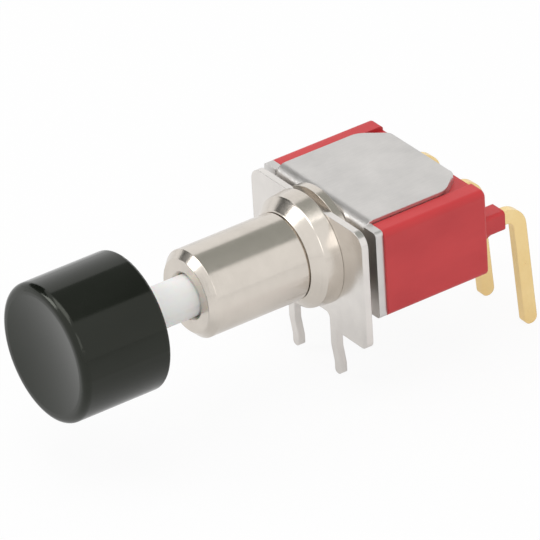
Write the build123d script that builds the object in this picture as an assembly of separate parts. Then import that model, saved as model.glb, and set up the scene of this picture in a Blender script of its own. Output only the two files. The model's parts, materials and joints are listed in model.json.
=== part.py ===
"""Miniature board-mounted pushbutton switch with a round cap and a bracketed bushing.

The pieces are laid out about the bushing axis: +X runs along the row of terminals,
+Y runs from the cap to the terminals, +Z is up, and Y = 0 is the front face of the case.
On export everything is shifted so that the origin lies on the board surface, below the
bushing axis and midway through the bracket's plate. All sizes are in millimetres.
"""
from build123d import *

import math
import os

# ---------------------------------------------------------------- driving dimensions
# Case: a moulded cup, open at the front, with a boss around each terminal
CASE_WIDTH = 12.7
CASE_HEIGHT = 6.35
CASE_LENGTH = 8.15
CASE_EDGE_RADIUS = 0.45
CASE_BACK_EDGE_RADIUS = 0.2
CASE_SIDE_WALL = 1.1
CASE_BACK_WALL = 1.55
CAVITY_HEIGHT = 4.6
BOSS_WIDTH = 1.5
BOSS_TOP = 0.42
BOSS_BOTTOM = -1.02
BOSS_LENGTH = 2.1
BOSS_WEB_RADIUS = 1.5
BOSS_EDGE_RADIUS = 0.25
BOSS_WEB_LAP = 0.3

# Board interface
AXIS_HEIGHT = 5.2
TERMINAL_PITCH = 4.7
PRONG_SPACING = 4.7
PIN_DEPTH = 3.5

# Frame: one folded sheet that straps the case to its front plate
FRAME_THICKNESS = 0.6
FRAME_WIDTH = 9.8
FRAME_PLATE_WIDTH = 12.4
FRAME_PLATE_HEIGHT = 6.4
FRAME_PROUD = 0.275
FRAME_EAR_RADIUS = 0.3
FRAME_BEND_RADIUS = 0.8
FRAME_SHOULDER_Y = 6.0
FRAME_TAIL_HALF = 3.5
FRAME_SHOULDER_RADIUS = 1.4
FRAME_TAIL_RADIUS = 0.6
FRAME_BACK_MARGIN = 0.45
FRAME_FIT = 0.05
TAB_WIDTH = 1.3
TAB_CENTRE_X = 2.35
TAB_DEPTH = 0.9
TAB_FIT = 0.03

# Bracket: a flat plate with two feet, each with a kinked prong
BRACKET_THICKNESS = 0.5
BRACKET_GAP = 0.6
BRACKET_WIDTH = 12.3
BRACKET_TOP = 3.35
BRACKET_CORNER_RADIUS = 1.0
BRACKET_NOTCH_TOP = -4.15
BRACKET_NOTCH_RADIUS = 0.4
PRONG_WIDTH = 0.65
PRONG_KINK_START = 1.3
PRONG_KINK_END = 2.7
PRONG_KINK_OFFSET = 0.2
PRONG_KINK_RADIUS = 0.5
PRONG_TIP_ROUNDING = 0.8
FOOT_CORNER_RADIUS = 0.6

# Bushing and its clamp collar
BARREL_RADIUS = 3.05
SEAT_STEP = 0.25
BARREL_FRONT_Y = -11.4
BARREL_CHAMFER = 0.5
BARREL_BORE_RADIUS = 2.2
BARREL_MOUTH_CHAMFER = 0.2
LIP_LENGTH = 1.0
COLLAR_RADIUS = 4.0
COLLAR_NOSE_RADIUS = 3.7
COLLAR_LENGTH = 2.0
COLLAR_CHAMFER = 0.6
NECK_LENGTH = 0.1
NECK_DEPTH = 0.2
FLANGE_RADIUS = 4.0
SPIGOT_RADIUS = 2.5
SWAGE_RADIUS = 2.65
SWAGE_LENGTH = 0.25
SWAGE_CLEARANCE = 0.1
BRACKET_HOLE_FIT = 0.05
SPIGOT_FIT = 0.02

# Cap and plunger
TRAVEL = 1.6
CAP_RADIUS = 4.8
CAP_LENGTH = 6.65
CAP_GAP = 4.5
CAP_EDGE_RADIUS = 0.5
CAP_BACK_EDGE_RADIUS = 0.2
CAP_DISH_DEPTH = 0.35
CAP_DISH_MARGIN = 0.7
CAP_WALL = 1.1
CAP_HUB_RADIUS = 2.5
CAP_RECESS_DEPTH = 3.8
PLUNGER_RADIUS = 1.45
PLUNGER_FIT = 0.05
PLUNGER_TAIL_RADIUS = 1.2
PLUNGER_TAIL_FIT = 0.05
PLUNGER_FLANGE_RADIUS = 2.1
PLUNGER_FLANGE_LENGTH = 0.8
SPINDLE_RADIUS = 1.3
SPINDLE_LENGTH = 4.6
STUB_RADIUS = 0.9
STOP_GAP = 0.04

# Retaining washer and insulator
WASHER_THICKNESS = 0.5
WASHER_INSET = 0.2
WASHER_FIT = 0.01
INSULATOR_THICKNESS = 0.7
INSULATOR_FIT = 0.05
INSULATOR_RECESS_DEPTH = 0.35
STEM_HOLE_FIT = 0.15

# Pusher foot
FOOT_GAP = 0.2
FOOT_THICKNESS = 0.6
FOOT_HUB_LENGTH = 0.9
FOOT_HUB_RADIUS = 1.3
PUSHER_REACH_OPEN = 3.4
PUSHER_REACH_CLOSED = 1.3
PUSHER_HALF_HEIGHT = 1.5
PUSHER_CORNER_RADIUS = 0.5

# Contact blade, its cradle and the contacts
PIVOT_Y = 4.6
BLADE_TILT = 7.0
BLADE_HALF_LENGTH = 4.75
BLADE_HALF_WIDTH = 1.1
BLADE_THICKNESS = 0.4
BLADE_END_RADIUS = 0.7
EAR_WIDTH = 0.5
EAR_HALF_SPAN = 1.95
CRADLE_FIT = 0.05
CHEEK_INNER_Z = 1.35
CHEEK_THICKNESS = 0.45
CHEEK_HALF_WIDTH = 0.7
CHEEK_FRONT_MARGIN = 0.4
CONTACT_X = 4.1
CONTACT_RADIUS = 0.8
BLADE_CONTACT_RADIUS = 0.7
BLADE_CONTACT_HEIGHT = 0.3
BLADE_CONTACT_DOME = 2.0
CONTACT_GAP = 0.03
HEAD_THICKNESS = 0.5
HEAD_HALF_HEIGHT = 1.3
HEAD_INNER_X = 3.3
HEAD_OUTER_X = 5.15

# Springs and the buttons that seat them on the blade
SEAT_X = 2.5
SEAT_RADIUS = 0.9
SEAT_HEIGHT = 0.4
SPIGOT_PIN_RADIUS = 0.42
SPIGOT_PIN_HEIGHT = 0.4
SMALL_COIL_RADIUS = 0.7
SMALL_WIRE_RADIUS = 0.1
SPRING_END_GAP = 0.12
BIAS_TURNS = 6
ACTUATING_TURNS = 3.5
RETURN_COIL_RADIUS = 1.75
RETURN_WIRE_RADIUS = 0.15
RETURN_TURNS = 11
RETURN_END_GAP = 0.03

# Terminals: flat blanked strips with a right-angle bend
TERMINAL_THICKNESS = 0.62
TERMINAL_WIDTH = 1.0
TERMINAL_RUN_Z = -0.4
TERMINAL_LEAN = 0.075
TERMINAL_BEND_RADIUS = 1.6
TERMINAL_INNER_RADIUS = 0.6
TERMINAL_ROW_OFFSET = 13.5
TERMINAL_TIP_RADIUS = 0.46
TERMINAL_TIP_LENGTH = 3.9
SLOT_FIT = 0.02

# ---------------------------------------------------------------- derived places
FRAME_OUTER_Z = CASE_HEIGHT / 2 + FRAME_PROUD
FRAME_INNER_Z = FRAME_OUTER_Z - FRAME_THICKNESS
FRAME_BACK_Y = CASE_LENGTH - FRAME_BACK_MARGIN
FLANGE_FRONT_Y = -FRAME_THICKNESS - BRACKET_GAP
BRACKET_FRONT_Y = FLANGE_FRONT_Y - BRACKET_THICKNESS
BRACKET_MID_Y = (FLANGE_FRONT_Y + BRACKET_FRONT_Y) / 2
COLLAR_FRONT_Y = BRACKET_FRONT_Y - COLLAR_LENGTH
LIP_BACK_Y = BARREL_FRONT_Y + LIP_LENGTH
CAP_BACK_Y = BARREL_FRONT_Y - CAP_GAP
CAP_FRONT_Y = CAP_BACK_Y - CAP_LENGTH
CAVITY_BACK_Y = CASE_LENGTH - CASE_BACK_WALL
CAVITY_HALF_WIDTH = CASE_WIDTH / 2 - CASE_SIDE_WALL
WASHER_BACK_Y = -WASHER_INSET
WASHER_FRONT_Y = WASHER_BACK_Y - WASHER_THICKNESS
PLUNGER_FLANGE_FRONT_Y = LIP_BACK_Y + STOP_GAP
PLUNGER_FLANGE_BACK_Y = PLUNGER_FLANGE_FRONT_Y + PLUNGER_FLANGE_LENGTH
PLUNGER_SHOULDER_Y = WASHER_FRONT_Y - TRAVEL - STOP_GAP
PUSHER_FRONT_Y = INSULATOR_THICKNESS + FOOT_GAP
PUSHER_BACK_Y = PUSHER_FRONT_Y + FOOT_THICKNESS
HEAD_FRONT_Y = CAVITY_BACK_Y - HEAD_THICKNESS
TERMINAL_CENTRE_Y = BRACKET_MID_Y + TERMINAL_ROW_OFFSET
BOARD_Z = -AXIS_HEIGHT
FOOT_INNER_X = (PRONG_SPACING - PRONG_WIDTH) / 2
SEAT_BORE_RADIUS = BARREL_RADIUS - SEAT_STEP
TILT = math.radians(BLADE_TILT)
BLADE_CONTACT_TOP = BLADE_THICKNESS / 2 + BLADE_CONTACT_HEIGHT
CONTACT_FACE_Y = (
    PIVOT_Y
    + CONTACT_X * math.sin(TILT)
    + (BLADE_CONTACT_TOP - BLADE_CONTACT_DOME) * math.cos(TILT)
    + BLADE_CONTACT_DOME
    + CONTACT_GAP
)
SEAT_TOP = BLADE_THICKNESS / 2 + SEAT_HEIGHT
SEAT_SWING = SEAT_X * math.sin(TILT)
SEAT_TIP = SEAT_TOP * math.cos(TILT)
# How near an edge has to lie to the radius and place asked for
EDGE_TOLERANCE = 1e-4


# ---------------------------------------------------------------- helpers
def disc(radius, y_front, y_back, x=0.0, z=0.0):
    """Cylinder along Y between two planes."""
    rod = Cylinder(radius, y_back - y_front, align=(Align.CENTER, Align.CENTER, Align.MIN))
    return Pos(x, y_front, z) * Rot(-90, 0, 0) * rod


def turned(*points):
    """Solid of revolution about the bushing axis from (radius, y) points."""
    return revolve(make_face(Polyline(*points, close=True)), Axis.Y)


def rim(solid, radius, y):
    """The round edge of that radius about the bushing axis at that y."""
    edges = solid.edges().filter_by(GeomType.CIRCLE)
    same_radius = edges.filter_by(lambda e: abs(e.radius - radius) < EDGE_TOLERANCE)
    return same_radius.filter_by(lambda e: abs(e.arc_center.Y - y) < EDGE_TOLERANCE)


def rounded(*corners):
    """Flat outline from (across, up, corner radius) triples."""
    outline = make_face(Polyline(*[(a, b) for a, b, _ in corners], close=True))
    for a, b, radius in corners:
        if radius > 0:
            corner = outline.vertices().sort_by_distance((a, b, 0))[0]
            outline = fillet(corner, radius)
    return outline


def plate(outline, y_front, y_back):
    """Extrude an (x, z) outline between two planes across Y."""
    return Pos(0, y_back, 0) * extrude(Plane.XZ * outline, amount=y_back - y_front)


def slab(outline, x_low, x_high):
    """Extrude a (y, z) outline between two planes across X."""
    return Pos(x_low, 0, 0) * extrude(Plane.YZ * outline, amount=x_high - x_low)


def block(x_low, x_high, y_low, y_high, z_low, z_high):
    """Rectangular block between its limits."""
    solid = Box(x_high - x_low, y_high - y_low, z_high - z_low, align=(Align.MIN,) * 3)
    return Pos(x_low, y_low, z_low) * solid


def coil(mean_radius, wire_radius, y_front, y_back, turns, x=0.0):
    """Open compression coil along Y."""
    height = y_back - y_front - 2 * wire_radius
    path = Helix(pitch=height / turns, height=height, radius=mean_radius)
    section = Plane(origin=path @ 0, z_dir=path % 0) * Circle(wire_radius)
    wire = sweep(section, path=path, is_frenet=True)
    return Pos(x, y_front + wire_radius, 0) * Rot(-90, 0, 0) * wire


def frame_outline():
    """Plan view of the frame's top plate, with its cut and rounded back corners."""
    half = FRAME_WIDTH / 2
    tail = FRAME_TAIL_HALF
    return rounded(
        (-half, 0, 0),
        (half, 0, 0),
        (half, FRAME_SHOULDER_Y, FRAME_SHOULDER_RADIUS),
        (tail, FRAME_BACK_Y, FRAME_TAIL_RADIUS),
        (-tail, FRAME_BACK_Y, FRAME_TAIL_RADIUS),
        (-half, FRAME_SHOULDER_Y, FRAME_SHOULDER_RADIUS),
    )


# ---------------------------------------------------------------- outer pieces
def build_cap():
    """Round cap: dished face, hub with a blind socket, annular hollow behind."""
    body = turned((0, CAP_FRONT_Y), (CAP_RADIUS, CAP_FRONT_Y), (CAP_RADIUS, CAP_BACK_Y), (0, CAP_BACK_Y))
    body = fillet(rim(body, CAP_RADIUS, CAP_FRONT_Y), CAP_EDGE_RADIUS)
    body = fillet(rim(body, CAP_RADIUS, CAP_BACK_Y), CAP_BACK_EDGE_RADIUS)
    dish_half = CAP_RADIUS - CAP_DISH_MARGIN
    dish_sphere = (dish_half**2 + CAP_DISH_DEPTH**2) / (2 * CAP_DISH_DEPTH)
    body -= Pos(0, CAP_FRONT_Y + CAP_DISH_DEPTH - dish_sphere, 0) * Sphere(dish_sphere)
    hollow_front = CAP_BACK_Y - CAP_RECESS_DEPTH
    hollow = disc(CAP_RADIUS - CAP_WALL, hollow_front, CAP_BACK_Y)
    hollow -= disc(CAP_HUB_RADIUS, hollow_front, CAP_BACK_Y)
    socket = disc(SPINDLE_RADIUS, CAP_BACK_Y - SPINDLE_LENGTH, CAP_BACK_Y)
    return body - hollow - socket


def build_plunger():
    """Stem: spindle in the cap, guided barrel, stop flange, spring post, tail and stub."""
    stem = turned(
        (0, CAP_BACK_Y - SPINDLE_LENGTH),
        (SPINDLE_RADIUS, CAP_BACK_Y - SPINDLE_LENGTH),
        (SPINDLE_RADIUS, CAP_BACK_Y),
        (PLUNGER_RADIUS, CAP_BACK_Y),
        (PLUNGER_RADIUS, PLUNGER_FLANGE_FRONT_Y),
        (PLUNGER_FLANGE_RADIUS, PLUNGER_FLANGE_FRONT_Y),
        (PLUNGER_FLANGE_RADIUS, PLUNGER_FLANGE_BACK_Y),
        (PLUNGER_RADIUS, PLUNGER_FLANGE_BACK_Y),
        (PLUNGER_RADIUS, PLUNGER_SHOULDER_Y),
        (PLUNGER_TAIL_RADIUS, PLUNGER_SHOULDER_Y),
        (PLUNGER_TAIL_RADIUS, PUSHER_FRONT_Y),
        (STUB_RADIUS, PUSHER_FRONT_Y),
        (STUB_RADIUS, PUSHER_FRONT_Y + FOOT_HUB_LENGTH),
        (0, PUSHER_FRONT_Y + FOOT_HUB_LENGTH),
    )
    return stem


def build_bushing():
    """Turned bushing: lipped mouth, barrel, neck, rear flange, spigot and swaged lip."""
    neck = BARREL_RADIUS - NECK_DEPTH
    body = turned(
        (PLUNGER_RADIUS + PLUNGER_FIT, BARREL_FRONT_Y),
        (BARREL_RADIUS - BARREL_CHAMFER, BARREL_FRONT_Y),
        (BARREL_RADIUS, BARREL_FRONT_Y + BARREL_CHAMFER),
        (BARREL_RADIUS, COLLAR_FRONT_Y - NECK_LENGTH),
        (neck, COLLAR_FRONT_Y - NECK_LENGTH),
        (neck, COLLAR_FRONT_Y),
        (SEAT_BORE_RADIUS, COLLAR_FRONT_Y),
        (SEAT_BORE_RADIUS, FLANGE_FRONT_Y),
        (FLANGE_RADIUS, FLANGE_FRONT_Y),
        (FLANGE_RADIUS, -FRAME_THICKNESS),
        (SPIGOT_RADIUS, -FRAME_THICKNESS),
        (SPIGOT_RADIUS, 0),
        (SWAGE_RADIUS, 0),
        (SWAGE_RADIUS, SWAGE_LENGTH),
        (BARREL_BORE_RADIUS, SWAGE_LENGTH),
        (BARREL_BORE_RADIUS, LIP_BACK_Y),
        (PLUNGER_RADIUS + PLUNGER_FIT, LIP_BACK_Y),
    )
    return chamfer(rim(body, PLUNGER_RADIUS + PLUNGER_FIT, BARREL_FRONT_Y), BARREL_MOUTH_CHAMFER)


def build_clamp_collar():
    """Ring with a bevelled nose, pressed along the barrel against the bracket."""
    ring = turned(
        (SEAT_BORE_RADIUS, COLLAR_FRONT_Y),
        (COLLAR_NOSE_RADIUS - COLLAR_CHAMFER, COLLAR_FRONT_Y),
        (COLLAR_NOSE_RADIUS, COLLAR_FRONT_Y + COLLAR_CHAMFER),
        (COLLAR_RADIUS, BRACKET_FRONT_Y),
        (SEAT_BORE_RADIUS, BRACKET_FRONT_Y),
    )
    return ring


def build_bracket():
    """Flat plate with two feet; each foot's inner side runs down as a kinked prong."""
    half = BRACKET_WIDTH / 2
    outline = rounded(
        (-half, BOARD_Z, FOOT_CORNER_RADIUS),
        (-FOOT_INNER_X, BOARD_Z, 0),
        (-FOOT_INNER_X, BRACKET_NOTCH_TOP, BRACKET_NOTCH_RADIUS),
        (FOOT_INNER_X, BRACKET_NOTCH_TOP, BRACKET_NOTCH_RADIUS),
        (FOOT_INNER_X, BOARD_Z, 0),
        (half, BOARD_Z, FOOT_CORNER_RADIUS),
        (half, BRACKET_TOP, BRACKET_CORNER_RADIUS),
        (-half, BRACKET_TOP, BRACKET_CORNER_RADIUS),
    )
    body = plate(outline, BRACKET_FRONT_Y, FLANGE_FRONT_Y)
    body -= disc(SEAT_BORE_RADIUS + BRACKET_HOLE_FIT, BRACKET_FRONT_Y, FLANGE_FRONT_Y)
    front, back = BRACKET_FRONT_Y, FLANGE_FRONT_Y
    kink, bend = PRONG_KINK_OFFSET, PRONG_KINK_RADIUS
    side = rounded(
        (front, BOARD_Z, 0),
        (back, BOARD_Z, 0),
        (back, BOARD_Z - PRONG_KINK_START, bend),
        (back + kink, BOARD_Z - PRONG_KINK_END, bend),
        (back + kink, BOARD_Z - PIN_DEPTH, 0),
        (front + kink, BOARD_Z - PIN_DEPTH, 0),
        (front + kink, BOARD_Z - PRONG_KINK_END, bend),
        (front, BOARD_Z - PRONG_KINK_START, bend),
    )
    for sign in (-1, 1):
        centre = sign * PRONG_SPACING / 2
        half_prong = PRONG_WIDTH / 2
        prong = slab(side, centre - half_prong, centre + half_prong)
        tip = prong.edges().filter_by(Axis.Y).group_by(Axis.Z)[0]
        body += fillet(tip, half_prong * PRONG_TIP_ROUNDING)
    return body


def build_frame():
    """Folded sheet: front plate, top and bottom plates, and four tabs hooked in the case."""
    outer, inner = FRAME_OUTER_Z, FRAME_INNER_Z
    bend = FRAME_BEND_RADIUS
    inside_bend = bend - FRAME_THICKNESS
    strip = rounded(
        (-FRAME_THICKNESS, -outer, bend),
        (FRAME_BACK_Y, -outer, 0),
        (FRAME_BACK_Y, -inner, 0),
        (0, -inner, inside_bend),
        (0, inner, inside_bend),
        (FRAME_BACK_Y, inner, 0),
        (FRAME_BACK_Y, outer, 0),
        (-FRAME_THICKNESS, outer, bend),
    )
    half = FRAME_WIDTH / 2
    body = slab(strip, -half, half)
    reach = Rectangle(2 * half, 2 * FRAME_THICKNESS, align=(Align.CENTER, Align.MAX))
    plan = frame_outline() + reach
    body &= Pos(0, 0, -outer) * extrude(plan, amount=2 * outer)
    ear_half = FRAME_PLATE_WIDTH / 2
    low, high = -FRAME_PLATE_HEIGHT / 2, FRAME_PLATE_HEIGHT / 2
    for sign in (-1, 1):
        edges = sorted((sign * half, sign * ear_half))
        ear = block(*edges, -FRAME_THICKNESS, 0, low, high)
        upright = ear.edges().filter_by(Axis.Y)
        ear = fillet(upright.sort_by(lambda e: -sign * e.center().X)[:2], FRAME_EAR_RADIUS)
        body += ear
    body -= disc(SPIGOT_RADIUS + SPIGOT_FIT, -FRAME_THICKNESS, 0)
    for side in (-1, 1):
        for up in (-1, 1):
            body += frame_tab(side * TAB_CENTRE_X, up)
    return body


def frame_tab(centre_x, up, fit=0.0):
    """Tab that turns into the case's back wall, or with a fit, the pocket for it."""
    half = TAB_WIDTH / 2 + fit
    heights = sorted((up * FRAME_INNER_Z, up * (FRAME_INNER_Z - TAB_DEPTH - fit)))
    return block(
        centre_x - half,
        centre_x + half,
        FRAME_BACK_Y - FRAME_THICKNESS - fit,
        FRAME_BACK_Y + fit,
        *heights,
    )


def boss(centre_x):
    """Boss around one terminal, with a concave web beneath it."""
    root = CASE_LENGTH - CASE_BACK_WALL / 2
    back = CASE_LENGTH + BOSS_LENGTH
    shelf = slab(
        rounded((root, BOSS_BOTTOM, 0), (back, BOSS_BOTTOM, 0), (back, BOSS_TOP, 0), (root, BOSS_TOP, 0)),
        centre_x - BOSS_WIDTH / 2,
        centre_x + BOSS_WIDTH / 2,
    )
    shelf = fillet(shelf.edges().filter_by(Axis.Y), BOSS_EDGE_RADIUS)
    web_low = BOSS_BOTTOM - BOSS_WEB_RADIUS
    web_back = CASE_LENGTH + BOSS_WEB_RADIUS
    web_top = BOSS_BOTTOM + BOSS_WEB_LAP
    web = slab(
        rounded((root, web_low, 0), (web_back, web_low, 0), (web_back, web_top, 0), (root, web_top, 0)),
        centre_x - BOSS_WIDTH / 2 + BOSS_EDGE_RADIUS,
        centre_x + BOSS_WIDTH / 2 - BOSS_EDGE_RADIUS,
    )
    scoop = Cylinder(BOSS_WEB_RADIUS, 2 * BOSS_WIDTH)
    web -= Pos(centre_x, web_back, web_low) * Rot(0, 90, 0) * scoop
    return shelf + web


def build_case():
    """Moulded cup: recessed top and bottom for the frame, bosses behind, slots for terminals."""
    half_w, half_h = CASE_WIDTH / 2, CASE_HEIGHT / 2
    body = block(-half_w, half_w, 0, CASE_LENGTH, -half_h, half_h)
    body = fillet(body.edges().filter_by(Axis.Y), CASE_EDGE_RADIUS)
    body = fillet(body.edges().group_by(Axis.Y)[-1], CASE_BACK_EDGE_RADIUS)
    recess_half = FRAME_WIDTH / 2 + FRAME_FIT
    for heights in ((FRAME_INNER_Z, half_h), (-half_h, -FRAME_INNER_Z)):
        body -= block(-recess_half, recess_half, 0, CASE_LENGTH, *heights)
    corner = FRAME_BEND_RADIUS - FRAME_THICKNESS
    for low_z in (FRAME_INNER_Z - corner, -FRAME_INNER_Z):
        body -= block(-recess_half, recess_half, 0, corner, low_z, low_z + corner)
    for side in (-1, 1):
        for up in (-1, 1):
            body -= frame_tab(side * TAB_CENTRE_X, up, TAB_FIT)
    for centre_x in (-TERMINAL_PITCH, 0, TERMINAL_PITCH):
        body += boss(centre_x)
    half_cavity = CAVITY_HEIGHT / 2
    body -= block(-CAVITY_HALF_WIDTH, CAVITY_HALF_WIDTH, 0, CAVITY_BACK_Y, -half_cavity, half_cavity)
    body -= disc(SWAGE_RADIUS + SWAGE_CLEARANCE, 0, INSULATOR_RECESS_DEPTH)
    slot_x = TERMINAL_THICKNESS / 2 + SLOT_FIT
    slot_z = TERMINAL_WIDTH / 2 + SLOT_FIT
    slot = (CAVITY_BACK_Y, CASE_LENGTH + BOSS_LENGTH, TERMINAL_RUN_Z - slot_z, TERMINAL_RUN_Z + slot_z)
    for x in (-TERMINAL_PITCH, 0, TERMINAL_PITCH):
        body -= block(x - slot_x, x + slot_x, *slot)
    return body


# ---------------------------------------------------------------- terminals and contacts
def leaning_y(z):
    """Middle of a terminal's leg at a height; the leg leans back towards its tip."""
    return TERMINAL_CENTRE_Y + TERMINAL_LEAN * (BOARD_Z - z)


def terminal_leg(centre_x):
    """Right-angled terminal strip from the head plate out through the boss and down."""
    half = TERMINAL_WIDTH / 2
    top, bottom = TERMINAL_RUN_Z + half, TERMINAL_RUN_Z - half
    tip = BOARD_Z - TERMINAL_TIP_LENGTH
    outline = rounded(
        (HEAD_FRONT_Y, bottom, 0),
        (leaning_y(bottom) - half, bottom, TERMINAL_INNER_RADIUS),
        (leaning_y(tip) - half, tip, TERMINAL_TIP_RADIUS),
        (leaning_y(tip) + half, tip, TERMINAL_TIP_RADIUS),
        (leaning_y(top) + half, top, TERMINAL_BEND_RADIUS),
        (HEAD_FRONT_Y, top, 0),
    )
    strip = slab(outline, centre_x - TERMINAL_THICKNESS / 2, centre_x + TERMINAL_THICKNESS / 2)
    return strip


def build_terminal_common():
    """Centre terminal with a cradle whose two cheeks carry the blade's ears."""
    outer_z = CHEEK_INNER_Z + CHEEK_THICKNESS
    half = CHEEK_HALF_WIDTH
    front = PIVOT_Y - CHEEK_FRONT_MARGIN
    body = terminal_leg(0) + block(-half, half, HEAD_FRONT_Y, CAVITY_BACK_Y, -outer_z, outer_z)
    notch_radius = math.hypot(EAR_WIDTH, BLADE_THICKNESS) / 2 + CRADLE_FIT
    for sign in (-1, 1):
        edges = sorted((sign * CHEEK_INNER_Z, sign * outer_z))
        body += block(-half, half, front, HEAD_FRONT_Y, *edges)
    body -= Pos(0, PIVOT_Y, 0) * Cylinder(notch_radius, 2 * CAVITY_HEIGHT)
    body -= block(-notch_radius, notch_radius, front, PIVOT_Y, -CAVITY_HEIGHT, CAVITY_HEIGHT)
    return body


def build_side_terminal(side):
    """End terminal with a head plate that carries its fixed contact."""
    edges = sorted((side * HEAD_INNER_X, side * HEAD_OUTER_X))
    head = block(*edges, HEAD_FRONT_Y, CAVITY_BACK_Y, -HEAD_HALF_HEIGHT, HEAD_HALF_HEIGHT)
    return terminal_leg(side * TERMINAL_PITCH) + head


def build_fixed_contact(side):
    """Flat rivet contact on a terminal head."""
    return disc(CONTACT_RADIUS, CONTACT_FACE_Y, HEAD_FRONT_Y, x=side * CONTACT_X)


def tilted(piece):
    """Turn a piece drawn about the blade's pivot to the blade's place at rest."""
    return Pos(0, PIVOT_Y, 0) * Rot(0, 0, BLADE_TILT) * piece


def build_contact_blade():
    """Rocking strip with an ear on each edge at its middle."""
    half, wide = BLADE_HALF_LENGTH, BLADE_HALF_WIDTH
    outline = rounded(
        (-half, -wide, BLADE_END_RADIUS),
        (half, -wide, BLADE_END_RADIUS),
        (half, wide, BLADE_END_RADIUS),
        (-half, wide, BLADE_END_RADIUS),
    )
    strip = plate(outline, -BLADE_THICKNESS / 2, BLADE_THICKNESS / 2)
    ears = Box(EAR_WIDTH, BLADE_THICKNESS, 2 * EAR_HALF_SPAN)
    return tilted(strip + ears)


def build_blade_contact(side):
    """Domed contact on the back of the blade."""
    height = BLADE_CONTACT_TOP
    button = disc(BLADE_CONTACT_RADIUS, BLADE_THICKNESS / 2, height, x=side * CONTACT_X)
    dome = Pos(side * CONTACT_X, height - BLADE_CONTACT_DOME, 0) * Sphere(BLADE_CONTACT_DOME)
    return tilted(button & dome)


def build_spring_seat(side):
    """Moulded button on the front of the blade that centres a spring."""
    x = side * SEAT_X
    button = disc(SEAT_RADIUS, -SEAT_TOP, -BLADE_THICKNESS / 2, x=x)
    button += disc(SPIGOT_PIN_RADIUS, -SEAT_TOP - SPIGOT_PIN_HEIGHT, -SEAT_TOP, x=x)
    return tilted(button)


# ---------------------------------------------------------------- inner pieces
def build_spring_retainer():
    """Washer pressed in the bushing's back, guiding the plunger's tail."""
    ring = disc(BARREL_BORE_RADIUS - WASHER_FIT, WASHER_FRONT_Y, WASHER_BACK_Y)
    return ring - disc(PLUNGER_TAIL_RADIUS + PLUNGER_TAIL_FIT, WASHER_FRONT_Y, WASHER_BACK_Y)


def build_insulator():
    """Liner behind the frame's front plate, with a pip for the bias spring."""
    half_x = CAVITY_HALF_WIDTH - INSULATOR_FIT
    half_z = CAVITY_HEIGHT / 2 - INSULATOR_FIT
    body = block(-half_x, half_x, 0, INSULATOR_THICKNESS, -half_z, half_z)
    body -= disc(SWAGE_RADIUS + SWAGE_CLEARANCE, 0, INSULATOR_RECESS_DEPTH)
    body -= disc(PLUNGER_TAIL_RADIUS + STEM_HOLE_FIT, 0, INSULATOR_THICKNESS)
    pip_back = INSULATOR_THICKNESS + SPIGOT_PIN_HEIGHT
    return body + disc(SPIGOT_PIN_RADIUS, INSULATOR_THICKNESS, pip_back, x=SEAT_X)


def build_pusher_foot():
    """Foot on the plunger's stub that presses the actuating spring."""
    outline = rounded(
        (-PUSHER_REACH_OPEN, -PUSHER_HALF_HEIGHT, PUSHER_CORNER_RADIUS),
        (PUSHER_REACH_CLOSED, -PUSHER_HALF_HEIGHT, PUSHER_CORNER_RADIUS),
        (PUSHER_REACH_CLOSED, PUSHER_HALF_HEIGHT, PUSHER_CORNER_RADIUS),
        (-PUSHER_REACH_OPEN, PUSHER_HALF_HEIGHT, PUSHER_CORNER_RADIUS),
    )
    body = plate(outline, PUSHER_FRONT_Y, PUSHER_BACK_Y)
    body += disc(FOOT_HUB_RADIUS, PUSHER_FRONT_Y, PUSHER_FRONT_Y + FOOT_HUB_LENGTH)
    body -= disc(STUB_RADIUS, PUSHER_FRONT_Y, PUSHER_FRONT_Y + FOOT_HUB_LENGTH)
    pip_back = PUSHER_BACK_Y + SPIGOT_PIN_HEIGHT
    return body + disc(SPIGOT_PIN_RADIUS, PUSHER_BACK_Y, pip_back, x=-SEAT_X)


def build_return_spring():
    """Coil around the plunger, from its flange to the retainer."""
    front = PLUNGER_FLANGE_BACK_Y + RETURN_END_GAP
    back = WASHER_FRONT_Y - RETURN_END_GAP
    return coil(RETURN_COIL_RADIUS, RETURN_WIRE_RADIUS, front, back, RETURN_TURNS)


def build_bias_spring():
    """Coil from the insulator to the blade's closed half."""
    back = PIVOT_Y + SEAT_SWING - SEAT_TIP - SPRING_END_GAP
    return coil(SMALL_COIL_RADIUS, SMALL_WIRE_RADIUS, INSULATOR_THICKNESS, back, BIAS_TURNS, x=SEAT_X)


def build_actuating_spring():
    """Coil from the pusher foot to the blade's open half."""
    back = PIVOT_Y - SEAT_SWING - SEAT_TIP - SPRING_END_GAP
    return coil(SMALL_COIL_RADIUS, SMALL_WIRE_RADIUS, PUSHER_BACK_Y, back, ACTUATING_TURNS, x=-SEAT_X)


PIECES = {
    "cap": build_cap,
    "plunger": build_plunger,
    "pusher_foot": build_pusher_foot,
    "return_spring": build_return_spring,
    "spring_retainer": build_spring_retainer,
    "bushing": build_bushing,
    "clamp_collar": build_clamp_collar,
    "bracket": build_bracket,
    "frame": build_frame,
    "case": build_case,
    "insulator": build_insulator,
    "terminal_common": build_terminal_common,
    "terminal_closed": lambda: build_side_terminal(1),
    "terminal_open": lambda: build_side_terminal(-1),
    "contact_closed": lambda: build_fixed_contact(1),
    "contact_open": lambda: build_fixed_contact(-1),
    "contact_blade": build_contact_blade,
    "blade_contact_closed": lambda: build_blade_contact(1),
    "blade_contact_open": lambda: build_blade_contact(-1),
    "spring_seat_bias": lambda: build_spring_seat(1),
    "spring_seat_actuating": lambda: build_spring_seat(-1),
    "bias_spring": build_bias_spring,
    "actuating_spring": build_actuating_spring,
}


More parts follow.
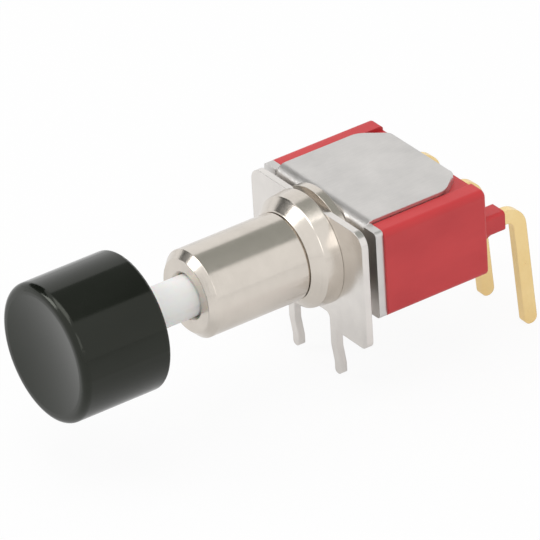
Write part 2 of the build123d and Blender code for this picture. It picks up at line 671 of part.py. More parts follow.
def main():
    """Build each piece, shift it to the board's frame and write it."""
    os.makedirs("parts", exist_ok=True)
    to_board = Pos(0, -BRACKET_MID_Y, AXIS_HEIGHT)
    for name, build in PIECES.items():
        piece = to_board * build()
        export_step(Compound(children=list(piece.solids())), f"parts/{name}.step")
        print(f"{name:24s} {len(piece.solids())} solid, {piece.volume:9.3f} mm3")


main()
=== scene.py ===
"""Looks of a miniature board-mounted pushbutton switch.

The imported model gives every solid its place. This file dresses each one in its finish, turns
a finer clamp collar, adds the small moulded details, and sets up a white table with soft
light. All lengths are in metres unless a name ends in _mm or _per_mm.
"""
from __future__ import annotations

import json
import logging
import math
from dataclasses import dataclass
from enum import Enum
from typing import Any, Iterator, Mapping, Sequence, Union

import bmesh
import bpy
from mathutils import Matrix, Vector

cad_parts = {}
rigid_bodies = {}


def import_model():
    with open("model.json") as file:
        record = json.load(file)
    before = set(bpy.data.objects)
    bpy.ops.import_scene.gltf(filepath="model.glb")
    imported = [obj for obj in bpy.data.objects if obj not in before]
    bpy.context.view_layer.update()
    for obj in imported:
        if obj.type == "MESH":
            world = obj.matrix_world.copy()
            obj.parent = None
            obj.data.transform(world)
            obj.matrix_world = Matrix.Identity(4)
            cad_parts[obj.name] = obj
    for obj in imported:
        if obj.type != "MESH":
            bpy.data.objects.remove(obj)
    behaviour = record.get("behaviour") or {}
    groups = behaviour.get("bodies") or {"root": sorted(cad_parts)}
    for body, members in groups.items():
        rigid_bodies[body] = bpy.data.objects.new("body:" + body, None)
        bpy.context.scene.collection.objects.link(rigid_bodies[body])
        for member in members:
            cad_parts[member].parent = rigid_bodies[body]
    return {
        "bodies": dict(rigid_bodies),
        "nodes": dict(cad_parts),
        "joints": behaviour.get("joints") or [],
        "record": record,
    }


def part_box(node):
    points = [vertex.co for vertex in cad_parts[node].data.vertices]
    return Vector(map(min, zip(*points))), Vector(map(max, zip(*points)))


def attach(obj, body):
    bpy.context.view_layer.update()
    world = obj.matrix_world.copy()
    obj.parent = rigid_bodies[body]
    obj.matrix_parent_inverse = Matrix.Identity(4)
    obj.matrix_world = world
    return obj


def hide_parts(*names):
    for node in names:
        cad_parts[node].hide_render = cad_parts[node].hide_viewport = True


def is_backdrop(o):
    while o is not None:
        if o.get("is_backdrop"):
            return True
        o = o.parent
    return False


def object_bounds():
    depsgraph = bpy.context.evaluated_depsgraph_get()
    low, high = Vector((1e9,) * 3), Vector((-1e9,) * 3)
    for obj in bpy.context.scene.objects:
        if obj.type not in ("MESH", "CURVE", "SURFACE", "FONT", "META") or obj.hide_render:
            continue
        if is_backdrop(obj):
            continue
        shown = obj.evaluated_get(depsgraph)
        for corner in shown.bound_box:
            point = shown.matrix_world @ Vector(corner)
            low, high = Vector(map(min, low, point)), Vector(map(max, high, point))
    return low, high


Colour = tuple[float, float, float]
Point = tuple[float, float, float]
Outline = Sequence[tuple[float, float]]
Key = Union[str, int]

LOG = logging.getLogger("switch")
MM = 0.001
WHITE: Colour = (1.0, 1.0, 1.0)

# Where a noise's usual span starts and ends
NOISE_LOW = 0.3
NOISE_HIGH = 0.7

# The Mix node repeats its socket names for each data type, so its colour sockets go by number
MIX_FACTOR, MIX_FIRST, MIX_SECOND, MIX_RESULT = 0, 6, 7, 2

EDGE_SAMPLES = 4

# Faces that turn more than this keep a sharp edge between them
SKIN_SHARP_DEG = 40
RING_SHARP_DEG = 30

# A guard line this many roundings from a corner keeps the flat beside it flat
GUARD_SHARE = 1.5


def opaque(colour: Colour) -> tuple[float, float, float, float]:
    """The colour with full alpha."""
    return (*colour, 1.0)


def evenly(per_metre: float) -> Point:
    """The same number of features per metre along every axis."""
    return (per_metre, per_metre, per_metre)


# ---------------------------------------------------------------- shader expressions
class Value:
    """One output socket that takes part in Python arithmetic."""

    def __init__(self, tree: ShaderTree, socket: bpy.types.NodeSocket) -> None:
        """Wrap a socket.

        Args:
            tree: the tree that the socket belongs to.
            socket: the output socket.
        """
        self.tree = tree
        self.socket = socket

    def __add__(self, other: Number) -> Value:
        """Sum."""
        return self.tree.math("ADD", self, other)

    def __radd__(self, other: Number) -> Value:
        """Sum, with the number first."""
        return self.tree.math("ADD", other, self)

    def __mul__(self, other: Number) -> Value:
        """Product."""
        return self.tree.math("MULTIPLY", self, other)

    def __rmul__(self, other: Number) -> Value:
        """Product, with the number first."""
        return self.tree.math("MULTIPLY", other, self)

    def clamped(self) -> Value:
        """The value kept between 0 and 1."""
        return self.tree.math("MINIMUM", self.tree.math("MAXIMUM", self, 0.0), 1.0)


Number = Union[Value, float]


class Breakup(Enum):
    """How finely a noise breaks up: its octaves and the weight of the finer ones."""

    BROAD = (2.0, 0.5)
    FLOWING = (3.0, 0.5)
    STREAKED = (3.0, 0.55)
    CLOUDED = (4.0, 0.55)
    FINE = (3.0, 0.6)
    GRAINY = (4.0, 0.6)
    SCUFFED = (5.0, 0.65)


class ShaderTree:
    """The node tree of one material or world."""

    def __init__(self, owner: Union[bpy.types.Material, bpy.types.World]) -> None:
        """Clear the owner's tree.

        Args:
            owner: the material or world whose nodes are built here.
        """
        owner.use_nodes = True
        self.tree = owner.node_tree
        self.tree.nodes.clear()
        kind = "World" if isinstance(owner, bpy.types.World) else "Material"
        self.output_kind = f"ShaderNodeOutput{kind}"

    def node(
        self,
        kind: str,
        settings: Mapping[str, Any] | None = None,
        sockets: Mapping[Key, Any] | None = None,
    ) -> bpy.types.Node:
        """Add a node.

        Args:
            kind: the node's type.
            settings: its properties, which are set first.
            sockets: value or link for each input, by name or number.

        Returns:
            The new node.
        """
        made = self.tree.nodes.new(kind)
        for key, value in (settings or {}).items():
            setattr(made, key, value)
        for key, value in (sockets or {}).items():
            if isinstance(value, Value):
                self.tree.links.new(value.socket, made.inputs[key])
            elif isinstance(value, bpy.types.NodeSocket):
                self.tree.links.new(value, made.inputs[key])
            else:
                made.inputs[key].default_value = value
        return made

    def value(self, node: bpy.types.Node, output: Key = 0) -> Value:
        """One output of a node as a value."""
        return Value(self, node.outputs[output])

    def math(self, operation: str, first: Number, second: Number) -> Value:
        """Add a Math node.

        Args:
            operation: the Math node's operation.
            first: first operand.
            second: second operand.

        Returns:
            Its result.
        """
        made = self.node("ShaderNodeMath", {"operation": operation}, {0: first, 1: second})
        return self.value(made)

    def blend(self, factor: Number, first: Colour, second: Colour) -> Value:
        """Mix two colours.

        Args:
            factor: share of the second colour.
            first: first colour.
            second: second colour.

        Returns:
            The mixed colour.
        """
        sockets = {MIX_FACTOR: factor, MIX_FIRST: opaque(first), MIX_SECOND: opaque(second)}
        return self.value(self.node("ShaderNodeMix", {"data_type": "RGBA"}, sockets), MIX_RESULT)

    def place(self, stretch: Point) -> Value:
        """The piece's own coordinates, multiplied along each axis.

        Args:
            stretch: factor along X, Y and Z, in features per metre.

        Returns:
            The stretched coordinates.
        """
        own = self.node("ShaderNodeTexCoord").outputs["Object"]
        scaled = self.node("ShaderNodeVectorMath", {"operation": "MULTIPLY"}, {0: own, 1: stretch})
        return self.value(scaled)

    def noise(self, stretch: Point, breakup: Breakup) -> Value:
        """Noise in the piece's own coordinates.

        Args:
            stretch: features per metre along X, Y and Z.
            breakup: how finely it breaks up.

        Returns:
            A value about 0.5.
        """
        octaves, weight = breakup.value
        made = self.node(
            "ShaderNodeTexNoise",
            None,
            {"Vector": self.place(stretch), "Scale": 1.0, "Detail": octaves, "Roughness": weight},
        )
        return self.value(made)

    def spread(self, noise: Value, low: float = 0.0, high: float = 1.0) -> Value:
        """Stretch a noise's usual span to new ends.

        Args:
            noise: the noise.
            low: result where the span starts.
            high: result where it ends.

        Returns:
            The stretched value.
        """
        sockets = {
            "Value": noise,
            "From Min": NOISE_LOW,
            "From Max": NOISE_HIGH,
            "To Min": low,
            "To Max": high,
        }
        return self.value(self.node("ShaderNodeMapRange", {"clamp": True}, sockets))

    def around(self, noise: Value, middle: float, reach: float) -> Value:
        """Stretch a noise's usual span to both sides of a middle.

        Args:
            noise: the noise.
            middle: result halfway along the span.
            reach: how far the ends lie from the middle.

        Returns:
            The stretched value.
        """
        return self.spread(noise, middle - reach, middle + reach)

    def bumped(self, height: Value, distance: float, edge: float) -> Value:
        """Normal of a softened edge with a fine relief on it.

        Args:
            height: relief, about 0 to 1.
            distance: depth of the relief.
            edge: radius of the softened edges.

        Returns:
            The normal.
        """
        soft = self.node("ShaderNodeBevel", {"samples": EDGE_SAMPLES}, {"Radius": edge})
        bump = self.node(
            "ShaderNodeBump",
            None,
            {"Strength": 1.0, "Distance": distance, "Height": height, "Normal": soft.outputs[0]},
        )
        return self.value(bump)

    def seen(self, directly: float, reflected: float) -> Value:
        """A share that depends on what is looking.

        Args:
            directly: share for what the camera sees.
            reflected: share for what a reflection or a refraction sees.

        Returns:
            The share, 0 for light that falls on other things.
        """
        rays = self.node("ShaderNodeLightPath")
        mirrored = self.value(rays, "Is Glossy Ray") + self.value(rays, "Is Transmission Ray")
        return (self.value(rays, "Is Camera Ray") * directly + mirrored * reflected).clamped()

    def glow(self, colour: Colour) -> bpy.types.Node:
        """A surface that gives off exactly this colour."""
        return self.node("ShaderNodeEmission", None, {"Color": opaque(colour), "Strength": 1.0})

    def either(
        self, share: Number, first: bpy.types.Node, second: bpy.types.Node
    ) -> bpy.types.Node:
        """Mix two shaders.

        Args:
            share: share of the second shader.
            first: node of the first shader.
            second: node of the second shader.

        Returns:
            The Mix Shader node.
        """
        sockets = {0: share, 1: first.outputs[0], 2: second.outputs[0]}
        return self.node("ShaderNodeMixShader", None, sockets)

    def end_in(self, shader: bpy.types.Node) -> None:
        """Send a shader to the output of the material or world."""
        self.node(self.output_kind, None, {"Surface": shader.outputs[0]})


# ---------------------------------------------------------------- finishes
@dataclass(frozen=True)
class Moulding:
    """A moulded plastic with faint flow shading and the texture of its tool."""

    name: str
    colour: Colour
    second_colour: Colour
    roughness: float
    roughness_spread: float
    relief_per_mm: float
    relief_depth_mm: float
    edge_mm: float = 0.05
    specular: float = 0.5
    gloss_tint: Colour = WHITE
    subsurface: float = 0.0
    subsurface_mm: float = 0.4
    flow_per_mm: float = 0.35
    flow_drawn_out: float = 0.5
    scuffs_per_relief: float = 0.3
    scuffs_in_shine: float = 0.5

    def material(self) -> bpy.types.Material:
        """Build the material.

        Returns:
            The finished material.
        """
        made = bpy.data.materials.new(self.name)
        tree = ShaderTree(made)
        slow = self.flow_per_mm / MM
        fast = self.relief_per_mm / MM
        flow = tree.noise((slow, slow * self.flow_drawn_out, slow), Breakup.FLOWING)
        grain = tree.noise(evenly(fast), Breakup.GRAINY)
        scuffs = tree.noise(evenly(fast * self.scuffs_per_relief), Breakup.SCUFFED)
        shine = flow * (1 - self.scuffs_in_shine) + scuffs * self.scuffs_in_shine
        sockets = {
            "Base Color": tree.blend(tree.spread(flow), self.colour, self.second_colour),
            "Roughness": tree.around(shine, self.roughness, self.roughness_spread),
            "Specular IOR Level": self.specular,
            "Specular Tint": opaque(self.gloss_tint),
            "Subsurface Weight": self.subsurface,
            "Subsurface Scale": self.subsurface_mm * MM,
            "Normal": tree.bumped(grain, self.relief_depth_mm * MM, self.edge_mm * MM),
        }
        tree.end_in(tree.node("ShaderNodeBsdfPrincipled", None, sockets))
        return made


class Grain(Enum):
    """Which way a metal's finest marks run, as marks per millimetre along X, Y and Z."""

    TURNED = (0.35, 26.0, 0.35)
    ROLLED = (16.0, 0.9, 16.0)
    BLANKED = (1.5, 6.0, 0.8)
    DRAWN = (8.0, 8.0, 8.0)
    PLATED = (5.0, 5.0, 5.0)


@dataclass(frozen=True)
class Metal:
    """A bare or plated metal with directional grain, cloudy tint and handling marks."""

    name: str
    colour: Colour
    clouded: Colour
    roughness: float
    roughness_spread: float
    grain: Grain
    grain_depth_mm: float
    edge_mm: float = 0.05
    cloud_per_mm: float = 0.5
    fine_per_cloud: float = 6.0
    marks_in_stain: float = 0.3
    marks_in_shine: float = 0.45
    fine_in_shine: float = 0.25
    cloud_in_shine: float = 0.3
    fine_in_relief: float = 0.2

    def material(self) -> bpy.types.Material:
        """Build the material.

        Returns:
            The finished material.
        """
        made = bpy.data.materials.new(self.name)
        tree = ShaderTree(made)
        slow = self.cloud_per_mm / MM
        marks = tree.noise(tuple(per / MM for per in self.grain.value), Breakup.STREAKED)
        cloud = tree.noise(evenly(slow), Breakup.CLOUDED)
        fine = tree.noise(evenly(slow * self.fine_per_cloud), Breakup.FINE)
        stain = cloud * (1 - self.marks_in_stain) + marks * self.marks_in_stain
        shine = (
            marks * self.marks_in_shine + fine * self.fine_in_shine + cloud * self.cloud_in_shine
        )
        relief = marks * (1 - self.fine_in_relief) + fine * self.fine_in_relief
        sockets = {
            "Base Color": tree.blend(tree.spread(stain), self.colour, self.clouded),
            "Metallic": 1.0,
            "Roughness": tree.around(shine, self.roughness, self.roughness_spread),
            "Normal": tree.bumped(relief, self.grain_depth_mm * MM, self.edge_mm * MM),
        }
        tree.end_in(tree.node("ShaderNodeBsdfPrincipled", None, sockets))
        return made


Finish = Union[Moulding, Metal]

MOULDINGS: tuple[Moulding, ...] = (
    Moulding(
        name="cap_black",
        colour=(0.0026, 0.0036, 0.0022),
        second_colour=(0.0052, 0.0064, 0.0046),
        roughness=0.13,
        roughness_spread=0.04,
        relief_per_mm=4.0,
        relief_depth_mm=0.0006,
        edge_mm=0.06,
        specular=0.40,
        gloss_tint=(0.96, 1.0, 0.88),
    ),
    Moulding(
        name="nylon_white",
        colour=(0.90, 0.90, 0.88),
        second_colour=(0.85, 0.85, 0.82),
        roughness=0.42,
        roughness_spread=0.08,
        relief_per_mm=5.0,
        relief_depth_mm=0.002,
        subsurface=0.25,
        subsurface_mm=0.5,
    ),
    Moulding(
        name="case_red",
        colour=(0.60, 0.036, 0.040),
        second_colour=(0.52, 0.028, 0.033),
        roughness=0.40,
        roughness_spread=0.07,
        relief_per_mm=7.0,
        relief_depth_mm=0.0025,
        edge_mm=0.08,
    ),
    Moulding(
        name="insulator_board",
        colour=(0.30, 0.20, 0.12),
        second_colour=(0.22, 0.14, 0.08),
        roughness=0.75,
        roughness_spread=0.08,
        relief_per_mm=9.0,
        relief_depth_mm=0.006,
    ),
)

METALS: tuple[Metal, ...] = (
    Metal(
        name="spring_wire",
        colour=(0.58, 0.58, 0.57),
        clouded=(0.46, 0.46, 0.45),
        roughness=0.28,
        roughness_spread=0.06,
        grain=Grain.DRAWN,
        grain_depth_mm=0.0008,
        edge_mm=0.01,
    ),
    Metal(
        name="sheet_steel",
        colour=(0.70, 0.68, 0.66),
        clouded=(0.61, 0.595, 0.58),
        roughness=0.34,
        roughness_spread=0.07,
        grain=Grain.ROLLED,
        grain_depth_mm=0.0008,
        edge_mm=0.07,
    ),
    Metal(
        name="nickel_turned",
        colour=(0.72, 0.665, 0.60),
        clouded=(0.64, 0.59, 0.53),
        roughness=0.20,
        roughness_spread=0.05,
        grain=Grain.TURNED,
        grain_depth_mm=0.0008,
    ),
    Metal(
        name="tinned_plate",
        colour=(0.80, 0.77, 0.735),
        clouded=(0.72, 0.69, 0.66),
        roughness=0.22,
        roughness_spread=0.05,
        grain=Grain.BLANKED,
        grain_depth_mm=0.0003,
        edge_mm=0.06,
    ),
    Metal(
        name="gold_plate",
        colour=(0.95, 0.74, 0.38),
        clouded=(0.90, 0.66, 0.30),
        roughness=0.24,
        roughness_spread=0.06,
        grain=Grain.PLATED,
        grain_depth_mm=0.0005,
        edge_mm=0.06,
    ),
    Metal(
        name="contact_silver",
        colour=(0.88, 0.86, 0.83),
        clouded=(0.80, 0.78, 0.75),
        roughness=0.20,
        roughness_spread=0.05,
        grain=Grain.PLATED,
        grain_depth_mm=0.0006,
    ),
    Metal(
        name="blade_copper",
        colour=(0.80, 0.46, 0.30),
        clouded=(0.70, 0.38, 0.24),
        roughness=0.28,
        roughness_spread=0.06,
        grain=Grain.ROLLED,
        grain_depth_mm=0.0008,
    ),
)

FINISHES: Mapping[str, Finish] = {finish.name: finish for finish in (*MOULDINGS, *METALS)}


class FinishShelf:
    """Makes each finish once and dresses pieces in it."""

    def __init__(self) -> None:
        """Start with no materials made."""
        self.made: dict[str, bpy.types.Material] = {}

    def get(self, slot: str) -> bpy.types.Material:
        """The material of a slot, made on first use.

        Args:
            slot: name of the record's material slot.

        Returns:
            The material.
        """
        if slot not in self.made:
            self.made[slot] = FINISHES[slot].material()
        return self.made[slot]

    def dress_nodes(self, frame: Mapping[str, Any]) -> None:
        """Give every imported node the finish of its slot.

        Args:
            frame: the loaded model.
        """
        slots = {part["node"]: part["material_slot"] for part in frame["record"]["subparts"]}
        for node, piece in frame["nodes"].items():
            finish = self.get(slots[node])
            if not piece.material_slots:
                piece.data.materials.append(finish)
            for place in piece.material_slots:
                place.material = finish
            LOG.info("dressed %s in %s", node, slots[node])


# ---------------------------------------------------------------- meshes
def bridge(
    shell: bmesh.types.BMesh,
    row: Sequence[bmesh.types.BMVert],
    after: Sequence[bmesh.types.BMVert],
) -> None:
    """Join two closed rows of points with a band of faces.

    Args:
        shell: the mesh that both rows are in.
        row: one row.
        after: the next row, with as many points.
    """
    for i in range(len(row)):
        j = (i + 1) % len(row)
        shell.faces.new((row[i], row[j], after[j], after[i]))


def object_from(name: str, shell: bmesh.types.BMesh, sharp_deg: float) -> bpy.types.Object:
    """Turn a closed shell into an object with smooth faces and sharp edges.

    Args:
        name: object name.
        shell: the shell, which is used up.
        sharp_deg: faces that turn more than this keep a sharp edge between them.

    Returns:
        The new object.
    """
    bmesh.ops.recalc_face_normals(shell, faces=shell.faces)
    mesh = bpy.data.meshes.new(name)
    shell.to_mesh(mesh)
    shell.free()
    mesh.shade_smooth()
    mesh.set_sharp_from_angle(angle=math.radians(sharp_deg))
    made = bpy.data.objects.new(name, mesh)
    bpy.context.collection.objects.link(made)
    return made


def skin(name: str, centre: Vector, rings: Iterator[tuple[float, Outline]]) -> bpy.types.Object:
    """Closed skin through outlines that stand one behind the other along Y.

    Args:
        name: object name.
        centre: point that the outlines are laid about.
        rings: how far along Y each outline stands, and its (x, z) points.

    Returns:
        The new object.
    """
    shell = bmesh.new()
    rows = []
    for along, outline in rings:
        rows.append([shell.verts.new(centre + Vector((x, along, z))) for x, z in outline])
    for row, after in zip(rows, rows[1:]):
        bridge(shell, row, after)
    shell.faces.new(rows[0])
    shell.faces.new(rows[-1])
    return object_from(name, shell, SKIN_SHARP_DEG)


def turned_ring(name: str, centre: Vector, section: Outline, turns: int) -> bpy.types.Object:
    """Ring turned about an axis along Y.

    Args:
        name: object name.
        centre: point on the axis that the section is measured from.
        section: closed section as (radius, along) points.
        turns: how many steps go round.

    Returns:
        The new object.
    """
    shell = bmesh.new()
    rows = []
    for step in range(turns):
        angle = 2 * math.pi * step / turns
        outward = Vector((math.cos(angle), 0.0, math.sin(angle)))
        points = [centre + outward * radius + Vector((0.0, y, 0.0)) for radius, y in section]
        rows.append([shell.verts.new(point) for point in points])
    for row, after in zip(rows, rows[1:] + rows[:1]):
        bridge(shell, row, after)
    return object_from(name, shell, RING_SHARP_DEG)


def softened(corners: Outline, radius: float, steps: int) -> list[tuple[float, float]]:
    """Round every corner of a closed section.

    Args:
        corners: the section's corners in order.
        radius: how far from each corner the rounding starts.
        steps: points on each rounding.

    Returns:
        The rounded section.
    """
    rounded = []
    count = len(corners)
    for i, corner in enumerate(corners):
        here = Vector(corner)
        back = (Vector(corners[i - 1]) - here).normalized() * radius
        ahead = (Vector(corners[(i + 1) % count]) - here).normalized() * radius
        rounded.append(tuple(here + back * GUARD_SHARE))
        for step in range(steps):
            t = step / (steps - 1)
            rounded.append(tuple(here + back * (1 - t) ** 2 + ahead * t**2))
        rounded.append(tuple(here + ahead * GUARD_SHARE))
    return rounded


def oblong(half_x: float, half_z: float, corner: float, steps: int) -> Outline:
    """Rounded rectangle about the origin.

    Args:
        half_x: half its width.
        half_z: half its height.
        corner: corner radius.
        steps: points in each corner.

    Returns:
        Its points in order.
    """
    points = []
    for quarter, (sign_x, sign_z) in enumerate(((1, 1), (-1, 1), (-1, -1), (1, -1))):
        for step in range(steps):
            angle = (quarter + step / (steps - 1)) * math.pi / 2
            x = sign_x * (half_x - corner) + corner * math.cos(angle)
            z = sign_z * (half_z - corner) + corner * math.sin(angle)
            points.append((x, z))
    return points


def disc(radius: float, points: int) -> Outline:
    """Points evenly round a circle about the origin."""
    turns = [2 * math.pi * i / points for i in range(points)]
    return [(radius * math.cos(turn), radius * math.sin(turn)) for turn in turns]


# ---------------------------------------------------------------- pieces
def axis_height() -> float:
    """Height of the bushing's axis, from the cap's box."""
    low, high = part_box("cap")
    return (low.z + high.z) / 2


def finish_piece(piece: bpy.types.Object, body: str, slot: str, shelf: FinishShelf) -> None:
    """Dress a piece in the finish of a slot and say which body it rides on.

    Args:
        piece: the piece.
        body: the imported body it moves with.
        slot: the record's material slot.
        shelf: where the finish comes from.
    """
    piece.data.materials.append(shelf.get(slot))
    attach(piece, body)
    LOG.info("made %s on %s", piece.name, body)


@dataclass(frozen=True)
class ClampCollar:
    """Turned ring with a bevelled nose and softened edges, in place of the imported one."""

    bore: float = 2.8 * MM
    nose_flat: float = 3.1 * MM
    nose: float = 3.86 * MM
    bevel: float = 0.76 * MM
    radius: float = 4.0 * MM
    length: float = 2.0 * MM
    edge: float = 0.06 * MM
    edge_steps: int = 5
    turns: int = 160

    def build(self, shelf: FinishShelf) -> None:
        """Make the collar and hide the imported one.

        Args:
            shelf: where the finish comes from.
        """
        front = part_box("clamp_collar")[0].y
        corners = (
            (self.bore, 0.0),
            (self.nose_flat, 0.0),
            (self.nose, self.bevel),
            (self.radius, self.length),
            (self.bore, self.length),
        )
        section = softened(corners, self.edge, self.edge_steps)
        centre = Vector((0.0, front, axis_height()))
        collar = turned_ring("collar_turned", centre, section, self.turns)
        finish_piece(collar, "housing", "nickel_turned", shelf)
        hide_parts("clamp_collar")


@dataclass(frozen=True)
class TerminalLips:
    """Moulded lip around each terminal where it leaves its boss."""

    pitch: float = 4.7 * MM
    half_thickness: float = 0.31 * MM
    half_width: float = 0.5 * MM
    run_below_axis: float = 0.4 * MM
    flare: float = 0.2 * MM
    upright_flare_share: float = 0.4
    corner_share: float = 0.35
    height: float = 0.24 * MM
    bite: float = 0.02 * MM
    rounds: int = 7
    corner_steps: int = 6

    def build(self, shelf: FinishShelf) -> None:
        """Make the three lips.

        Args:
            shelf: where the finish comes from.
        """
        boss_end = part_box("case")[1].y
        run_z = axis_height() - self.run_below_axis
        for name, place in (("open", -1), ("common", 0), ("closed", 1)):
            centre = Vector((place * self.pitch, boss_end, run_z))
            lip = skin(f"terminal_lip_{name}", centre, self._rings())
            finish_piece(lip, "housing", "case_red", shelf)

    def _rings(self) -> Iterator[tuple[float, Outline]]:
        """Outlines from the boss to the terminal, along a hollow quarter round.

        Returns:
            Each outline's place and points in turn.
        """
        for step in range(self.rounds):
            turn = step / (self.rounds - 1) * math.pi / 2
            along = self.height * (1 - math.cos(turn))
            spare = self.flare * (1 - math.sin(turn))
            half_x = self.half_thickness + spare - self.bite
            half_z = self.half_width + spare * self.upright_flare_share - self.bite
            corner = spare * self.corner_share + self.bite
            yield along - self.bite, oblong(half_x, half_z, corner, self.corner_steps)


@dataclass(frozen=True)
class MouldMarks:
    """Ejector pads on the case's back wall and the gate's stub on the cap's hub."""

    boss_length: float = 2.1 * MM
    pad_x: float = 2.35 * MM
    pad_radius: float = 0.55 * MM
    pad_height: float = 0.04 * MM
    stub_radius: float = 0.3 * MM
    stub_height: float = 0.12 * MM
    stub_off_axis: float = 1.9 * MM
    points: int = 40
    # Each ring's place as a share of the height, and its size as a share of the radius
    rim: Outline = ((-0.5, 1.0), (0.45, 1.0), (0.8, 0.97), (1.0, 0.9))

    def build(self, shelf: FinishShelf) -> None:
        """Make the marks.

        Args:
            shelf: where the finish comes from.
        """
        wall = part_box("case")[1].y - self.boss_length
        for name, side in (("left", -1), ("right", 1)):
            centre = Vector((side * self.pad_x, wall, axis_height()))
            rings = self._rings(self.pad_radius, self.pad_height)
            finish_piece(skin(f"ejector_pad_{name}", centre, rings), "housing", "case_red", shelf)
        hub = Vector((0.0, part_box("cap")[1].y, axis_height() + self.stub_off_axis))
        stub = skin("cap_gate_stub", hub, self._rings(self.stub_radius, self.stub_height))
        finish_piece(stub, "button", "cap_black", shelf)

    def _rings(self, radius: float, height: float) -> Iterator[tuple[float, Outline]]:
        """Outlines of a low round pad with a softened rim.

        Args:
            radius: radius at its foot.
            height: how far it stands out.

        Returns:
            Each outline's place and points in turn.
        """
        for along, share in self.rim:
            yield along * height, disc(share * radius, self.points)


# ---------------------------------------------------------------- table, light and camera
def panel_mesh(name: str, width: float, depth: float) -> bpy.types.Mesh:
    """A flat panel centred on its origin.

    Args:
        name: mesh name.
        width: size along X.
        depth: size along Y.

    Returns:
        The mesh.
    """
    mesh = bpy.data.meshes.new(name)
    x, y = width / 2, depth / 2
    mesh.from_pydata([(-x, -y, 0), (x, -y, 0), (x, y, 0), (-x, y, 0)], [], [(0, 1, 2, 3)])
    return mesh


def facing(direction: Vector, distance: float, aim: Vector) -> Matrix:
    """Placement that stands off along a direction and looks back at a point.

    Args:
        direction: from the point towards the place.
        distance: how far off.
        aim: the point looked at.

    Returns:
        The placement, whose -Z looks at the point.
    """
    unit = direction.normalized()
    turn = (-unit).to_track_quat("-Z", "Y").to_matrix().to_4x4()
    return Matrix.Translation(aim + unit * distance) @ turn


@dataclass(frozen=True)
class Softbox:
    """Square area lamp that faces the switch."""

    name: str
    direction: Point
    distance: float
    size: float
    watts: float

    def build(self, aim: Vector) -> None:
        """Hang the lamp.

        Args:
            aim: the point it faces.
        """
        light = bpy.data.lights.new(self.name, "AREA")
        light.size, light.energy = self.size, self.watts
        lamp = bpy.data.objects.new(self.name, light)
        lamp.matrix_world = facing(Vector(self.direction), self.distance, aim)
        lamp.visible_camera = False
        bpy.context.collection.objects.link(lamp)


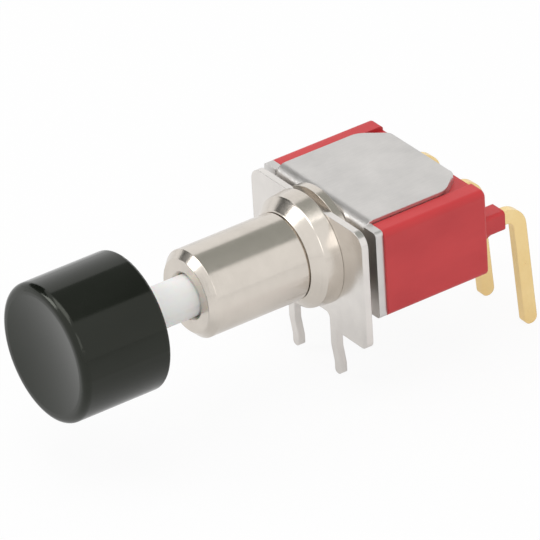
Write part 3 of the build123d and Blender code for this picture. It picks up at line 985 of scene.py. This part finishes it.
@dataclass(frozen=True)
class Flag:
    """Dark panel that only reflections see."""

    name: str
    direction: Point
    distance: float
    width: float
    depth: float
    grey: float
    tint: Colour = (1.0, 1.04, 0.98)
    unseen_by: tuple[str, ...] = ("camera", "diffuse", "transmission", "volume_scatter", "shadow")

    def build(self, aim: Vector) -> None:
        """Hang the flag.

        Args:
            aim: the point it faces.
        """
        flag = bpy.data.objects.new(self.name, panel_mesh(self.name, self.width, self.depth))
        flag.matrix_world = facing(Vector(self.direction), self.distance, aim)
        for rays in self.unseen_by:
            setattr(flag, f"visible_{rays}", False)
        paint = bpy.data.materials.new(self.name)
        tree = ShaderTree(paint)
        tree.end_in(tree.glow(tuple(self.grey * share for share in self.tint)))
        flag.data.materials.append(paint)
        bpy.context.collection.objects.link(flag)
        flag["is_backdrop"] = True


@dataclass(frozen=True)
class Studio:
    """White table, soft lamps and dark flags that shape the metals' reflections."""

    floor_height: float
    aim: Point = (0.0, 0.0, 0.005)
    floor_size: float = 6.0
    floor_colour: Colour = (0.86, 0.86, 0.86)
    mottle_per_metre: float = 3.0
    mottle_share: float = 0.985
    floor_glow: float = 0.92
    floor_glow_reflected: float = 0.35
    dome_strength: float = 0.62
    lamps: tuple[Softbox, ...] = (
        Softbox("lamp_key", (-0.48, -0.68, 0.56), distance=0.45, size=0.22, watts=0.62),
        Softbox("lamp_top", (0.05, -0.15, 1.0), distance=0.55, size=0.42, watts=1.00),
        Softbox("lamp_right", (0.95, -0.25, 0.55), distance=0.60, size=0.30, watts=0.30),
    )
    flags: tuple[Flag, ...] = (
        Flag("flag_above", (-0.09, 0.50, 0.86), distance=0.25, width=0.27, depth=0.13, grey=0.36),
        Flag("flag_left", (-0.81, -0.23, 0.54), distance=0.31, width=0.32, depth=0.19, grey=0.07),
    )

    def build(self) -> None:
        """Make the table, world, lamps and flags."""
        self._floor()
        self._world()
        for panel in (*self.lamps, *self.flags):
            panel.build(Vector(self.aim))

    def _floor(self) -> None:
        """Table top that shows white, keeps the switch's shadow and is clear from below."""
        floor = bpy.data.objects.new("floor", panel_mesh("floor", self.floor_size, self.floor_size))
        floor.location.z = self.floor_height
        bpy.context.collection.objects.link(floor)
        floor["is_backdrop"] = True
        paint = bpy.data.materials.new("table_white")
        tree = ShaderTree(paint)
        mottle = tree.noise(evenly(self.mottle_per_metre), Breakup.BROAD)
        second = tuple(share * self.mottle_share for share in self.floor_colour)
        tone = tree.blend(mottle, self.floor_colour, second)
        matt = tree.node("ShaderNodeBsdfDiffuse", None, {"Color": tone})
        share = tree.seen(self.floor_glow, self.floor_glow_reflected)
        lit = tree.either(share, matt, tree.glow(WHITE))
        under = tree.value(tree.node("ShaderNodeNewGeometry"), "Backfacing")
        tree.end_in(tree.either(under, lit, tree.node("ShaderNodeBsdfTransparent")))
        floor.data.materials.append(paint)
        LOG.info("floor at %.4f m", self.floor_height)

    def _world(self) -> None:
        """Even dome that shows white to the camera and to reflections."""
        world = bpy.data.worlds.new("dome")
        bpy.context.scene.world = world
        tree = ShaderTree(world)
        soft, white = (
            tree.node("ShaderNodeBackground", None, {"Color": opaque(WHITE), "Strength": strength})
            for strength in (self.dome_strength, 1.0)
        )
        tree.end_in(tree.either(tree.seen(1.0, 1.0), soft, white))


@dataclass(frozen=True)
class Viewpoint:
    """Long-lens camera turned round the switch."""

    azimuth_deg: float = 56.29
    elevation_deg: float = 30.70
    roll_deg: float = 3.59
    aim_mm: Point = (-0.4954, -3.0074, 4.2278)
    distance: float = 0.5
    lens_mm: float = 512.8
    sensor_mm: float = 36.0
    near: float = 0.02
    far: float = 20.0

    def build(self) -> None:
        """Make the camera and set it as the scene's."""
        azimuth, elevation = math.radians(self.azimuth_deg), math.radians(self.elevation_deg)
        back = Vector(
            (
                math.sin(azimuth) * math.cos(elevation),
                -math.cos(azimuth) * math.cos(elevation),
                math.sin(elevation),
            )
        )
        lens = bpy.data.cameras.new("camera")
        lens.sensor_width, lens.lens = self.sensor_mm, self.lens_mm
        lens.clip_start, lens.clip_end = self.near, self.far
        camera = bpy.data.objects.new("camera", lens)
        level = facing(back, self.distance, Vector(self.aim_mm) * MM)
        camera.matrix_world = level @ Matrix.Rotation(-math.radians(self.roll_deg), 4, "Z")
        bpy.context.collection.objects.link(camera)
        bpy.context.scene.camera = camera
        LOG.info("camera %.2f m off", self.distance)


def main() -> None:
    """Load the model, dress it, add the details and light it."""
    logging.basicConfig(level=logging.INFO, format="%(name)s: %(message)s")
    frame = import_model()
    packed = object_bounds()
    bpy.context.scene.view_settings.view_transform = "Standard"
    shelf = FinishShelf()
    shelf.dress_nodes(frame)
    ClampCollar().build(shelf)
    TerminalLips().build(shelf)
    MouldMarks().build(shelf)
    Studio(floor_height=packed[0].z).build()
    Viewpoint().build()


if __name__ == "__main__":
    main()
